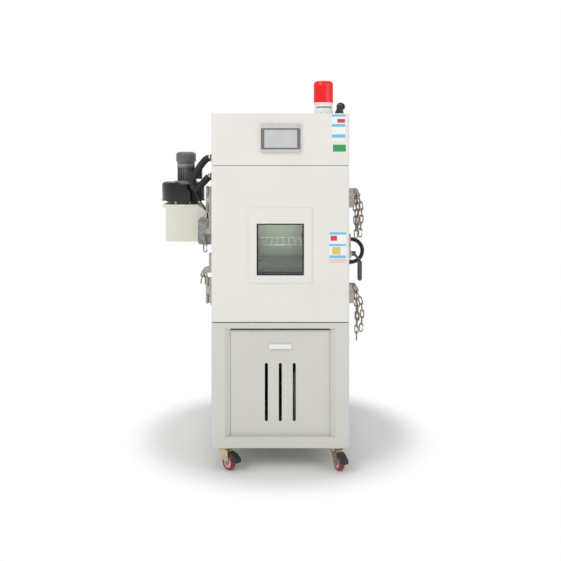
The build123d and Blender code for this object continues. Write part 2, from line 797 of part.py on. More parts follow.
def make_bracket(side, z0, reach, ear, ear_at_top, strands):
    """A clevis on the cabinet's side with a cross pin that carries a chain."""
    wall = side * half_width
    pin_x = wall + side * (ear - 2 * bracket_pin_radius)
    pin_z = z0 + (bracket_height - 10 if ear_at_top else 10)
    near, far = (bracket_height, bracket_height - 20) if ear_at_top else (0, 20)
    other = 0 if ear_at_top else bracket_height
    outline = [(wall, z0 + other), (wall, z0 + near), (wall + side * ear, z0 + near), (wall + side * ear, z0 + far),
               (wall + side * reach, z0 + (near + far) / 2 - (near - far)), (wall + side * reach, z0 + other)]
    half = bracket_inside / 2
    bracket = slab(wall, wall + side * 3, chain_y - half, chain_y + half, z0, z0 + bracket_height)
    for edge in (-1, 1):
        plane = Plane.XZ.offset(-(chain_y + edge * (half + bracket_cheek / 2)))
        bracket += profile(outline, plane, bracket_cheek)
    pin_half = max([half + bracket_cheek + 2] + [abs(offset) + link_wire + 1 for offset, _ in strands])
    bracket += bar_y(pin_x, chain_y - pin_half, chain_y + pin_half, pin_z, bracket_pin_radius)
    for edge in (-1, 1):
        head = chain_y + edge * pin_half
        bracket += bar_y(pin_x, head - edge * 2, head, pin_z, 2 * bracket_pin_radius)
    return bracket, (pin_x, pin_z)


# Each chain: side, bracket foot above the sill, bracket reach, ear, ear at the top, and its strands of leaning links
chains = {
    "upper_right_chain": (1, 560.0, 32.0, 46.0, True, [(-4.5, [-8, -3, 2, 3, 3, 2, 2]),
                                                       (-27, [10, 8, 4, 0, -3, -3]),
                                                       (27, [4, 12, 8, -2, -6, -4]),
                                                       (4.5, [28, 18, 10, 2, -4, -5, -4])]),
    "lower_right_chain": (1, 80.0, 30.0, 38.0, True, [(-4.5, [-6, 8, 12, 6, 0, -2, 0, 0]),
                                                      (-27, [14, 10, 6, 0, -4, -4]),
                                                      (4.5, [27, 24, 17, 8, 0, -6, -6])]),
    "upper_left_chain": (-1, 429.0, 18.0, 34.0, False, [(0, [14, 6, 0])]),
    "lower_left_chain": (-1, 234.0, 18.0, 46.0, False, [(-4.5, [-6, 0]), (4.5, [26, 12])]),
}


def make_conduit():
    """A corrugated sleeve that leaves one gland and comes back to another below it."""
    start_x = half_width + gland_length
    top = (start_x, conduit_y, conduit_z + conduit_bend)
    bottom = (start_x, conduit_y, conduit_z - conduit_bend)
    middle = (start_x + conduit_bend, conduit_y, conduit_z)
    path = ThreePointArc(top, middle, bottom)
    sleeve = sweep(Plane(path @ 0, z_dir=path % 0) * Circle(conduit_radius), path=path)
    pieces = [sleeve]
    for step in (-1, 1):
        z = conduit_z + step * conduit_bend
        gland = bar_x(half_width, half_width + gland_length, conduit_y, z, conduit_radius + 2)
        nut = Pos(half_width + 4, conduit_y, z) * Rot(0, 90, 0) * extrude(RegularPolygon(17, 6), amount=4, both=True)
        pieces.append(gland + nut)
    return pieces


def scroll_radius(turn, inset):
    """The scroll's radius after a share of its turn."""
    return scroll_start + (scroll_end - scroll_start) * turn ** scroll_power - inset


def scroll_plan(inset):
    """The scroll seen from above: a spiral of arcs, and the outlet that leaves along +Y."""
    def point(turn):
        angle = math.pi - 2 * math.pi * turn
        radius = scroll_radius(turn, inset)
        return (blower_x + radius * math.cos(angle), blower_y + radius * math.sin(angle))

    arcs = [ThreePointArc(point(k / 8), point((k + 0.5) / 8), point((k + 1) / 8)) for k in range(8)]
    spiral = make_face(Curve() + arcs + Line(point(1), point(0)))
    left = blower_x - scroll_end + inset
    right = blower_x - scroll_end + 2 * collar_radius + scroll_rim - inset
    reach = blower_y + outlet_reach - inset
    outlet = make_face(Polyline((left, blower_y), (right, blower_y), (right, reach), (left, reach), close=True))
    return spiral + outlet


def make_blower_housing():
    """The scroll with its bevelled top and rimmed floor, the inlet below, and the round discharge collar."""
    low, high = scroll_low_z, scroll_top_z
    housing = Pos(0, 0, low) * extrude(scroll_plan(0), amount=high - low)
    housing = chamfer(housing.edges().group_by(Axis.Z)[-1], scroll_bevel)
    housing += Pos(0, 0, low) * extrude(scroll_plan(-scroll_rim), amount=scroll_wall)
    space = high - low - scroll_wall - scroll_ceiling
    housing -= Pos(0, 0, low + scroll_wall) * extrude(scroll_plan(scroll_wall), amount=space)
    middle_z = (low + high) / 2
    collar_x = blower_x - scroll_end + collar_radius + scroll_rim / 2
    end = blower_y + outlet_reach
    housing += bar_y(collar_x, end, end + collar_length, middle_z, collar_radius)
    housing -= bar_y(collar_x, end - 2 * scroll_wall - 4, end + collar_length + 1, middle_z,
                     collar_radius - collar_wall)
    housing -= upright(blower_x, blower_y, high - 2 * scroll_ceiling, high + 10, blower_shaft_radius + 2)
    ring_x = blower_x + ring_shift
    housing += upright(ring_x, blower_y, duct_top_z, low, ring_radius)
    housing -= upright(ring_x, blower_y, duct_top_z - 1, low, ring_radius - scroll_wall)
    return housing - upright(blower_x, blower_y, low - 1, low + 10, inlet_radius)


def make_impeller():
    """A squirrel cage of raked blades between a back plate and a ring, on the motor's shaft."""
    low = scroll_low_z + scroll_wall + 8
    high = low + impeller_height
    wheel = upright(0, 0, high - 3, high, impeller_radius)
    wheel += upright(0, 0, low, low + 3, impeller_radius) - upright(0, 0, low - 1, low + 4, impeller_radius - 14)
    wheel += upright(0, 0, high - 30, high, 16)
    for index in range(blade_count):
        blade = Pos(impeller_radius - 8, 0, (low + high) / 2) * Rot(0, 0, 35) * Box(13, 1.6, high - low)
        wheel += Rot(0, 0, index * 360 / blade_count) * blade
    wheel += upright(0, 0, high - 20, scroll_top_z + 34, blower_shaft_radius)
    return Pos(blower_x, blower_y, 0) * wheel


def make_blower_motor():
    """A finned motor with a flange below and a domed fan cowl on top."""
    low = scroll_top_z
    flange_radius, flange = motor_flange
    body_low = low + flange
    body_high = body_low + motor_body_height
    motor = upright(0, 0, low, body_low, flange_radius)
    motor += upright(0, 0, body_low, body_high, motor_core_radius)
    for index in range(motor_fins):
        fin = slab(motor_core_radius - 2, motor_fin_radius, -1.2, 1.2, body_low, body_high)
        motor += Rot(0, 0, index * 360 / motor_fins) * fin
    cowl_low = body_high + motor_collar_height
    motor += upright(0, 0, body_high, cowl_low, motor_collar_radius)
    cowl = upright(0, 0, cowl_low, cowl_low + cowl_height, cowl_radius)
    cowl = fillet(cowl.edges().group_by(Axis.Z)[-1], 15)
    motor += cowl
    motor -= upright(0, 0, low - 1, low + 34 + seat_gap, blower_shaft_radius + running_clearance)
    return Pos(blower_x, blower_y, 0) * motor


def make_motor_wiring():
    """The terminal box on the motor's side, and the lead that is held between it and the junction box."""
    box_x0 = blower_x + cowl_radius + 4
    box_z = scroll_top_z + 50
    front = blower_y - 24
    box = slab(box_x0, box_x0 + 28, front, blower_y + 24, box_z - 34, box_z + 36)
    box = fillet(box.edges().filter_by(Axis.Z), 4)
    box += slab(blower_x + motor_fin_radius, box_x0, blower_y - 10, blower_y + 10, box_z - 24, box_z + 10)
    x, lead_y = box_x0 + 14, hose_y + hose_radius + 10
    end_x, end_y = -half_width - 32, junction_y0 + 26
    end_z = junction_z0 + junction_height
    route = [(x, front, box_z - 10), (x, front - 56, box_z - 14), (x - 16, lead_y, box_z - 40),
             (x - 16, lead_y, scroll_top_z - 35), (end_x - 14, lead_y, scroll_low_z - 35),
             (end_x, end_y, end_z + 26), (end_x, end_y, end_z)]
    return box, tube_along(route, lead_radius)


def make_junction_box():
    """A pressed steel box on the cabinet's side, with its lid screwed to the front."""
    x0, x1 = -half_width - junction_width, -half_width
    top = junction_z0 + junction_height
    box = slab(x0, x1, junction_y0, junction_y0 + junction_depth, junction_z0, top)
    lid = slab(x0 - 2, x1, junction_y0 - junction_lid, junction_y0, junction_z0 - 2, top)
    box = fillet(box.edges().filter_by(Axis.Y).sort_by(Axis.X)[:2], 10)
    return box + fillet(lid.edges().filter_by(Axis.Y).sort_by(Axis.X)[:2], 14)


def make_duct_box():
    """The sheet duct box that carries the blower, with a slanted shoulder by the cabinet."""
    wall = -half_width
    run, drop = duct_bevel

    def outline(inset):
        left, right = duct_left_x + inset, wall - inset
        low, high = duct_bottom_z + inset, duct_top_z - inset
        return [(left, low), (right, low), (right, high - drop), (duct_shoulder_x + run, high - drop),
                (duct_shoulder_x, high), (left, high)]

    def block(inset):
        depth = duct_depth - 2 * inset
        return profile(outline(inset), Plane.XZ.offset(-blower_y), depth)

    outer = block(0)
    corner = min(outer.edges().filter_by(Axis.Y), key=lambda edge: edge.center().X + edge.center().Z)
    outer = fillet(corner, duct_corner)
    box = outer - block(sheet)
    out, deep = duct_flange
    box += slab(duct_left_x - out, duct_left_x, duct_y0 + 20, duct_y1 - 20, duct_top_z - deep, duct_top_z)
    return box - upright(blower_x, blower_y, duct_top_z - 10, duct_top_z + 1, inlet_radius)


def make_hose():
    """The foam-covered hose loop and the two unions that hold its ends."""
    route = [(-half_width - out, hose_y, lintel_z + up) for out, up in hose_route]
    hose = tube_along(route, hose_radius)
    pieces = [hose]
    for x, _, z in (route[0], route[-1]):
        union = bar_x(x - 4, -half_width, hose_y, z, hose_radius * 0.8)
        nut = Pos(-half_width - 7, hose_y, z) * Rot(0, 90, 0) * extrude(RegularPolygon(20, 6), amount=6, both=True)
        pieces.append(union + nut - hose)
    return pieces


def make_beacon():
    """The base, the domed lens over it, and the reflector that turns inside."""
    base_top = roof_z + beacon_base_height
    foot = upright(0, 0, roof_z, roof_z + 18, beacon_radius)
    body = upright(0, 0, roof_z + 18, base_top - 6, beacon_radius - 4)
    rim = upright(0, 0, base_top - 6, base_top, beacon_radius - 1)
    lamp = upright(0, 0, base_top, base_top + 14, 7) + upright(0, 0, base_top + 14, base_top + 52, 11)
    base = foot + body + rim + lamp
    lens = dome(beacon_radius, base_top, lens_height, 18) - dome(beacon_radius - lens_wall, base_top - 1,
                                                                 lens_height + 1 - lens_wall, 16)
    bore = upright(0, 0, base_top, base_top + 13, 7 + running_clearance)
    table = upright(0, 0, base_top + 2, base_top + 8, 30)
    outer = upright(0, 0, base_top + 8, base_top + 74, 30)
    inner = upright(0, 0, base_top + 7, base_top + 75, 27.5)
    mirror = (outer - inner) & slab(0, 40, -40, 40, base_top, base_top + 90)
    reflector = table + mirror - bore
    place = Pos(beacon_x, beacon_y, 0)
    return place * base, place * lens, place * reflector


def dome(radius, z0, height, edge):
    """A cylinder with a broadly rounded top edge."""
    body = upright(0, 0, z0, z0 + height, radius)
    return fillet(body.edges().group_by(Axis.Z)[-1], edge)


def make_elbow():
    """A cable gland that stands on the roof and turns back over it."""
    rise, reach = 44.0, 46.0
    elbow = upright(0, 0, 0, 6, elbow_radius + 10)
    elbow += Pos(0, 0, 6) * extrude(RegularPolygon(elbow_radius + 7, 6), amount=10)
    elbow += upright(0, 0, 16, 22, elbow_radius + 4)
    path = FilletPolyline((0, 0, 16), (0, 0, rise), (0, reach, rise), radius=20)
    elbow += sweep(Plane(path @ 0, z_dir=path % 0) * Circle(elbow_radius), path=path)
    elbow += bar_y(0, reach - 16, reach + 16, rise, elbow_radius + 5)
    return Pos(elbow_x, beacon_y, roof_z) * Rot(0, 0, -elbow_turn) * elbow


def make_caster_plates(places):
    """The fixed top of each caster: plate, race and kingpin with its nut."""
    plates = []
    for x, y, _ in places:
        width, depth, thick = caster_plate
        top = caster_height
        plate = slab(x - width / 2, x + width / 2, y - depth / 2, y + depth / 2, top - thick, top)
        plate += upright(x, y, top - thick - 8, top - thick, race_radius)
        plate += upright(x, y, top - 28, top - thick, kingpin_radius) + upright(x, y, top - 28, top - 21.5, 9)
        plates.append(plate)
    return plates


def make_fork():
    """Crown, two shaped legs, the axle and the brake's cross pin, trailing towards -Y."""
    crown_low, crown_high = caster_height - 21, caster_height - 12.3
    trail, axle_z = caster_trail, wheel_radius
    side_x = fork_leg_x + fork_leg / 2
    crown = upright(0, 0, crown_low, crown_high, race_radius + 2)
    crown += slab(-side_x, side_x, -trail - 10, 0, crown_low, crown_high)
    fork = crown - upright(0, 0, crown_low - 1, crown_high + 1, kingpin_radius + running_clearance)
    outline = [(20, crown_low), (-trail - 10, crown_low), (-trail - 13, brake_pin_height - 4),
               (-trail - 12, axle_z), (-trail, axle_z - 12), (-trail + 12, axle_z), (4, crown_low - 22)]
    for side in (-1, 1):
        leg = profile(outline, Plane.YZ.offset(side * fork_leg_x), fork_leg)
        leg += bar_x(side * (side_x - fork_leg), side * side_x, -trail, axle_z, 12)
        fork += leg
    fork += bar_x(-side_x - 4, side_x + 4, -trail, axle_z, axle_radius)
    return fork + bar_x(-side_x, side_x, brake_pin_y, brake_pin_height, brake_pin_radius)


def make_wheel():
    """A crowned tread on a dished hub, bored for the axle."""
    half = wheel_width / 2
    rim = wheel_radius
    bore = axle_radius + running_clearance
    outline = [(bore, -half - 2), (12, -half - 2), (12, -half + 4), (rim - 11, -half + 4), (rim - 11, -half),
               (rim - 4, -half), (rim, -half + 5), (rim, half - 5), (rim - 4, half), (rim - 11, half),
               (rim - 11, half - 4), (12, half - 4), (12, half + 2), (bore, half + 2)]
    section = make_face(Polyline(*outline, close=True))
    wheel = revolve(Plane.XY * section, axis=Axis.Y)
    return Pos(0, -caster_trail, wheel_radius) * Rot(0, 0, 90) * wheel


def make_pedal():
    """The brake lever: a bored boss and a foot plate beyond the wheel."""
    y, z, half = brake_pin_y, brake_pin_height, pedal_half
    outline = [(y + 5, z + 4), (y - 10, z + 9), (y - 38, z + 5), (y - 66, z - 12), (y - 68, z - 31),
               (y - 55, z - 34), (y - 43, z - 22), (y - 14, z - 2), (y - 2, z - 4)]
    pedal = profile(outline, Plane.YZ, 2 * half) + bar_x(-half, half, y, z, 5.5)
    return pedal - bar_x(-half - 1, half + 1, y, z, brake_pin_radius + running_clearance)


plinth = make_plinth()
service_panel, panel_pull = make_service_panel()
hmi_plate_solid, hmi_bezel_solid, hmi_screen_solid = make_hmi()
window_trim, window_panes = make_window()
cabinet_hinges, door_hinges = make_hinges()
latch_base, latch_lever = make_latch()
beacon_base, beacon_lens, beacon_reflector = make_beacon()

write("base_plinth", *plinth)
write("lower_front_frame", make_lower_front())
write("side_panels", *make_side_panels())
write("rear_panel", make_rear_panel())
write("roof_panel", make_roof())
write("head_fascia", make_head(), hmi_plate_solid)
write("hmi_bezel", hmi_bezel_solid)
write("hmi_screen", hmi_screen_solid)
write("service_panel", service_panel)
write("panel_pull", panel_pull)
write("wall_insulation", *make_insulation())
write("chamber_liner", make_liner())
write("shelf", make_shelf())
write("air_duct_panel", make_duct_panel(), *make_probes())
write("circulation_fan", make_circulation_fan())
write("fan_motor", make_fan_motor())
write("heater_coil", *make_heater())
write("evaporator_coil", make_evaporator())
write("chamber_lamp", make_lamp())
write("compressor", make_compressor())
write("condenser_coil", make_condenser())
write("condenser_fan", make_condenser_fan())
write("refrigerant_pipes", *make_pipes())
write("water_tank", make_water_tank())
write("door_shell", make_door_shell())
write("door_inner_panel", make_door_inner())
write("window_trim", window_trim)
write("window_glass", *window_panes)
write("door_gasket", make_gasket())
write("door_hinge_leaves", *door_hinges)
write("latch_base", latch_base)
write("latch_lever", latch_lever)
write("side_conduit", *make_conduit())
write("exhaust_duct_box", make_duct_box())
write("blower_housing", make_blower_housing())
write("blower_impeller", make_impeller())
write("blower_motor", make_blower_motor())
write("motor_wiring", *make_motor_wiring())
write("junction_box", make_junction_box())
write("coolant_hose", *make_hose())
write("beacon_base", beacon_base)
write("beacon_lens", beacon_lens)
write("beacon_reflector", beacon_reflector)
write("roof_cable_elbow", make_elbow())

brackets = list(cabinet_hinges)
for name, (side, foot, reach, ear, ear_at_top, strands) in chains.items():
    bracket, pin = make_bracket(side, sill_z + foot, reach, ear, ear_at_top, strands)
    brackets.append(bracket)
    links = []
    for number, (y_offset, angles) in enumerate(strands):
        links += strand(pin, side, y_offset, angles, hook=number == len(strands) - 1)
    write(name, *links)
write("cabinet_brackets", *brackets)

caster_places = []
for name, angle in caster_angles.items():
    side = -1 if name.endswith("left") else 1
    end = -1 if name.startswith("front") else 1
    caster_places.append((side * caster_x, end * caster_y, angle))
    place = Pos(side * caster_x, end * caster_y, 0) * Rot(0, 0, angle)
    write(f"caster_fork_{name}", place * make_fork())
    write(f"caster_wheel_{name}", place * make_wheel())
    if end < 0:
        write(f"caster_brake_{name}", place * make_pedal())
write("caster_plates", *make_caster_plates(caster_places))
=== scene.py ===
import json
import math

import bmesh
import bpy
from mathutils import Matrix, Vector


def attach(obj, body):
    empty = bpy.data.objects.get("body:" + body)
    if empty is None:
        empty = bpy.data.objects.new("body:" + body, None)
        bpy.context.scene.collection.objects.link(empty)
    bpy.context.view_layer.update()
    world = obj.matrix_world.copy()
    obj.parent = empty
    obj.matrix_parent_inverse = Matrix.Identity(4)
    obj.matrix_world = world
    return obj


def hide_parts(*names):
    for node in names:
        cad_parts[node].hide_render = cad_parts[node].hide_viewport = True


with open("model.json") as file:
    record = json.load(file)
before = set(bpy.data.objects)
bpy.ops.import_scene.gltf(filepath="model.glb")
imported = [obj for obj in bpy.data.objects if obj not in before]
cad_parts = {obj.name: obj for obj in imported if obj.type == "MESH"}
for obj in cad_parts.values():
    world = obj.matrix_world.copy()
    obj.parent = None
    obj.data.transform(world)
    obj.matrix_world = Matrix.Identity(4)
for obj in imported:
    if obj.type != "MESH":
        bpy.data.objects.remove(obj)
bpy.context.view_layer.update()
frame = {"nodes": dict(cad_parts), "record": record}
nodes = frame["nodes"]

# Places and sizes in metres, in the frame of the CAD part: X right, Y to the back, Z up
HALF_WIDTH, ROOF_Z = 0.340, 1.760
FRONT_Y, REAR_Y = -0.525, 0.5242
BEACON, BEACON_RING_RADIUS = (0.219, -0.400), 0.0489
BEACON_SLOT_RADIUS, BEACON_SLOT_Z = 0.0449, (ROOF_Z + 0.0335, ROOF_Z + 0.0385)
BLOWER = (-0.497, -0.250)

HMI_X, HMI_FACE_Y = 0.002, -0.536
SCREEN_Z, TOP_BAND_Z, BOTTOM_BAND_Z = 1.6345, 1.6977, 1.5745
WINDOW_Z, INNER_PANE_Y = 1.0905, -0.4664

HINGE_FACE_X, LATCH_FACE_X, JUNCTION_LID_Y = -0.345, 0.348, -0.407
LOWER_HINGE_Z, UPPER_HINGE_Z = (0.832, 0.878, 0.925), (1.286, 1.333, 1.380)

HOSE_Y, UPPER_UNION_Z, LOWER_UNION_Z = -0.413, 1.541, 1.446
SCROLL_X, SCROLL_RADIUS, SCROLL_Z = BLOWER[0] - 0.015, 0.0842, 1.3015
MOTOR_RADIUS, FLANGE_RADIUS = 0.0458, 0.0603
FLANGE_Z, COLLAR_BAND_Z, COWL_TOP_Z = (1.4137, 1.4198), (1.5005, 1.5045), 1.5705
SLEEVE_BEND, SLEEVE_START = 0.058, (0.359, -0.392, 1.069)

LINK_LENGTH, LINK_WIDTH, LINK_WIRE, LINK_PLAY = 0.049, 0.022, 0.006, 0.003
HOOK_OPENING = 0.014
CHAIN_Y, PIN_RADIUS, SEAT_GAP = -0.431, 0.003, 0.0003

CASTER_X, CASTER_Y, CASTER_TRAIL, WHEEL_RADIUS = 0.277, 0.479, 0.034, 0.0375
PLATE_BOLT_X, PLATE_BOLT_Y, PLATE_BOLT_Z = 0.029, 0.032, 0.109
HUB_FACE_X, AXLE_END_X = 0.0112, 0.0211


def new_material(name):
    """A material with one Principled shader and nothing else."""
    material = bpy.data.materials.new(name)
    material.use_nodes = True
    tree = material.node_tree
    tree.nodes.clear()
    output = tree.nodes.new("ShaderNodeOutputMaterial")
    shader = tree.nodes.new("ShaderNodeBsdfPrincipled")
    tree.links.new(shader.outputs["BSDF"], output.inputs["Surface"])
    return material, tree, shader


def noise(tree, scale, detail, stretch=(1, 1, 1)):
    """Noise in the piece's own coordinates, which are metres in the part's frame."""
    place = tree.nodes.new("ShaderNodeTexCoord")
    mapping = tree.nodes.new("ShaderNodeMapping")
    mapping.inputs["Scale"].default_value = stretch
    texture = tree.nodes.new("ShaderNodeTexNoise")
    texture.inputs["Scale"].default_value = scale
    texture.inputs["Detail"].default_value = detail
    texture.inputs["Roughness"].default_value = 0.5
    tree.links.new(place.outputs["Object"], mapping.inputs["Vector"])
    tree.links.new(mapping.outputs["Vector"], texture.inputs["Vector"])
    return texture.outputs["Fac"]


def ramp(tree, factor, low, high):
    """A blend between two (position, colour) stops."""
    node = tree.nodes.new("ShaderNodeValToRGB")
    for element, (position, colour) in zip(node.color_ramp.elements, (low, high)):
        element.position, element.color = position, (*colour, 1)
    tree.links.new(factor, node.inputs["Fac"])
    return node.outputs["Color"]


def spread(tree, factor, low, high):
    """The middle of the noise, stretched to run from low to high."""
    node = tree.nodes.new("ShaderNodeMapRange")
    node.inputs["From Min"].default_value = 0.3
    node.inputs["From Max"].default_value = 0.7
    node.inputs["To Min"].default_value = low
    node.inputs["To Max"].default_value = high
    tree.links.new(factor, node.inputs["Value"])
    return node.outputs["Result"]


def bump(tree, shader, height, strength, distance):
    """Relief from a noise, as deep as distance in metres."""
    node = tree.nodes.new("ShaderNodeBump")
    node.inputs["Strength"].default_value = strength
    node.inputs["Distance"].default_value = distance
    tree.links.new(height, node.inputs["Height"])
    tree.links.new(node.outputs["Normal"], shader.inputs["Normal"])


def shade(colour, share):
    """A colour made lighter or darker."""
    return tuple(min(1.0, max(0.0, channel * share)) for channel in colour)


def finish(name, colour, rough, metal=0.0, vary=0.03, patch=4.0, grain=900.0, depth=0.0002, strength=0.25,
           stretch=(1, 1, 1), rough_vary=0.06, coat=0.0, tint=None):
    """A painted, plated or moulded surface: patchy colour, patchy gloss and a fine grain.

    patch and grain are the scales of the coarse and the fine noise. depth is the grain's height in metres.
    """
    material, tree, shader = new_material(name)
    darker = tint or shade(colour, 1 - 2 * vary)
    broad = noise(tree, patch, 4.0)
    mottled = ramp(tree, broad, (0.32, darker), (0.68, shade(colour, 1 + vary)))
    tree.links.new(mottled, shader.inputs["Base Color"])
    fine = noise(tree, grain, 2.0, stretch)
    tree.links.new(spread(tree, broad, rough - rough_vary, rough + rough_vary), shader.inputs["Roughness"])
    bump(tree, shader, fine, strength, depth)
    shader.inputs["Metallic"].default_value = metal
    shader.inputs["Coat Weight"].default_value = coat
    return material


def glassy(name, colour, rough, weight, ior=1.45):
    """Clear or tinted glass with a faint haze."""
    material, tree, shader = new_material(name)
    haze = noise(tree, 14.0, 4.0)
    tree.links.new(ramp(tree, haze, (0.35, shade(colour, 0.97)), (0.65, colour)), shader.inputs["Base Color"])
    tree.links.new(spread(tree, haze, rough, rough + 0.03), shader.inputs["Roughness"])
    shader.inputs["Transmission Weight"].default_value = weight
    shader.inputs["IOR"].default_value = ior
    return material


def glowing(material, colour, strength):
    """Gives a finish an even glow of its own."""
    shader = next(node for node in material.node_tree.nodes if node.type == "BSDF_PRINCIPLED")
    shader.inputs["Emission Color"].default_value = (*colour, 1)
    shader.inputs["Emission Strength"].default_value = strength


LOOKS = {
    # One look for each material slot of the CAD part
    "cabinet_paint": dict(colour=(0.775, 0.755, 0.71), rough=0.42, vary=0.012, grain=1100, depth=0.00012),
    "lower_paint": dict(colour=(0.64, 0.635, 0.58), rough=0.4, vary=0.015, grain=1100, depth=0.00012),
    "duct_paint": dict(colour=(0.76, 0.745, 0.65), rough=0.42, vary=0.02, patch=5, grain=900),
    "motor_paint": dict(colour=(0.15, 0.162, 0.168), rough=0.33, vary=0.2, patch=22, grain=500, depth=0.0004),
    "machine_black": dict(colour=(0.016, 0.016, 0.018), rough=0.2, vary=0.25, patch=9, grain=200,
                          depth=0.0004, coat=0.4),
    "stainless": dict(colour=(0.6, 0.6, 0.58), rough=0.3, metal=1.0, vary=0.05, grain=260,
                      stretch=(0.06, 0.06, 5), depth=0.00012, strength=0.35),
    "zinc": dict(colour=(0.52, 0.49, 0.44), rough=0.34, metal=1.0, vary=0.1, patch=40,
                 tint=(0.36, 0.33, 0.29), grain=700, depth=0.0003, rough_vary=0.1),
    "yellow_zinc": dict(colour=(0.66, 0.5, 0.24), rough=0.34, metal=1.0, vary=0.1, patch=45,
                        tint=(0.5, 0.5, 0.42), grain=500, rough_vary=0.1),
    "copper": dict(colour=(0.75, 0.36, 0.2), rough=0.28, metal=1.0, vary=0.14, patch=28,
                   tint=(0.45, 0.2, 0.12), grain=400),
    "fin_metal": dict(colour=(0.68, 0.69, 0.7), rough=0.33, metal=1.0, vary=0.06, patch=35, grain=800),
    "screen": dict(colour=(0.56, 0.57, 0.57), rough=0.16, vary=0.02, patch=20, grain=2500, depth=0.00003,
                   rough_vary=0.02, coat=0.6),
    "bezel": dict(colour=(0.56, 0.52, 0.51), rough=0.42, vary=0.02, patch=30, grain=2200, depth=0.0001),
    "white_plastic": dict(colour=(0.84, 0.83, 0.8), rough=0.34, vary=0.015, patch=12, grain=1800,
                          depth=0.00008),
    "black_plastic": dict(colour=(0.02, 0.02, 0.022), rough=0.38, vary=0.2, patch=30, grain=1300,
                          depth=0.0002),
    "black_gloss": dict(colour=(0.004, 0.004, 0.006), rough=0.1, vary=0.3, patch=9, grain=120, depth=0.0004,
                        strength=0.08, rough_vary=0.04, coat=0.2),
    "black_rubber": dict(colour=(0.013, 0.013, 0.016), rough=0.66, vary=0.3, patch=28, grain=330,
                         depth=0.0012, strength=0.5),
    "soft_seal": dict(colour=(0.8, 0.79, 0.74), rough=0.7, vary=0.05, patch=20, grain=600, depth=0.0004),
    "insulation": dict(colour=(0.83, 0.77, 0.55), rough=0.95, vary=0.12, patch=30, grain=500, depth=0.002,
                       strength=0.7, rough_vary=0.0),
    "red_tread": dict(colour=(0.33, 0.012, 0.022), rough=0.3, vary=0.15, patch=45, grain=500, coat=0.3),
    "lever_grey": dict(colour=(0.055, 0.055, 0.06), rough=0.45, vary=0.12, patch=35, grain=900,
                       depth=0.0004),
    "lamp_glass": dict(colour=(0.9, 0.88, 0.8), rough=0.3, vary=0.02, grain=900),
    # Looks of single pieces that differ from the rest of their slot
    "galvanised": dict(colour=(0.34, 0.36, 0.345), rough=0.4, metal=0.9, vary=0.15, patch=55, grain=300,
                       tint=(0.2, 0.21, 0.2), depth=0.0004),
    "chain_zinc": dict(colour=(0.46, 0.41, 0.34), rough=0.28, metal=1.0, vary=0.16, patch=110,
                       tint=(0.13, 0.1, 0.08), grain=700, depth=0.0003, rough_vary=0.12),
    "film": dict(colour=(0.16, 0.16, 0.165), rough=0.4, vary=0.03, patch=30, grain=2200, depth=0.00005),
    "bezel_band": dict(colour=(0.6, 0.56, 0.54), rough=0.42, vary=0.02, patch=30, grain=2200, depth=0.0001),
    "cast_grey": dict(colour=(0.42, 0.43, 0.42), rough=0.4, metal=0.6, vary=0.1, patch=25, grain=600),
    "tan_band": dict(colour=(0.55, 0.42, 0.22), rough=0.4, vary=0.1, patch=30),
    "union_blue": dict(colour=(0.05, 0.2, 0.5), rough=0.3, metal=0.5, vary=0.12, patch=60, grain=700),
    "union_red": dict(colour=(0.28, 0.03, 0.05), rough=0.3, metal=0.5, vary=0.12, patch=60, grain=700),
    "brass": dict(colour=(0.72, 0.52, 0.26), rough=0.3, metal=1.0, vary=0.1, patch=50, grain=600),
    "hub_white": dict(colour=(0.74, 0.64, 0.6), rough=0.4, vary=0.08, patch=60, grain=900),
}
STICKER_COLOURS = {
    "white": (0.86, 0.86, 0.84), "cyan": (0.17, 0.52, 0.74), "red": (0.6, 0.07, 0.06),
    "green": (0.035, 0.33, 0.1), "yellow": (0.72, 0.55, 0.16), "pink": (0.8, 0.6, 0.55),
}
for name, colour in STICKER_COLOURS.items():
    LOOKS[f"sticker_{name}"] = dict(colour=colour, rough=0.33, vary=0.02, patch=40, grain=1500, depth=0.00004)

materials = {name: finish(name, **look) for name, look in LOOKS.items()}

# The window and the beacon's lens let light through. The lens glows faintly and the chamber lamp strongly
materials["glass"] = glassy("window_glass", (0.92, 0.98, 0.92), 0.0, 1.0)
materials["red_lens"] = glassy("red_lens", (0.9, 0.012, 0.016), 0.06, 0.3, 1.49)
glowing(materials["red_lens"], (1, 0.03, 0.03), 0.1)
glowing(materials["lamp_glass"], (1, 0.98, 0.9), 60.0)

look_of = {part["node"]: part["material_slot"] for part in frame["record"]["subparts"]}
look_of["junction_box"] = "galvanised"
for node_name, node_object in nodes.items():
    material = materials[look_of[node_name]]
    if node_object.data.materials:
        for index in range(len(node_object.data.materials)):
            node_object.data.materials[index] = material
    else:
        node_object.data.materials.append(material)


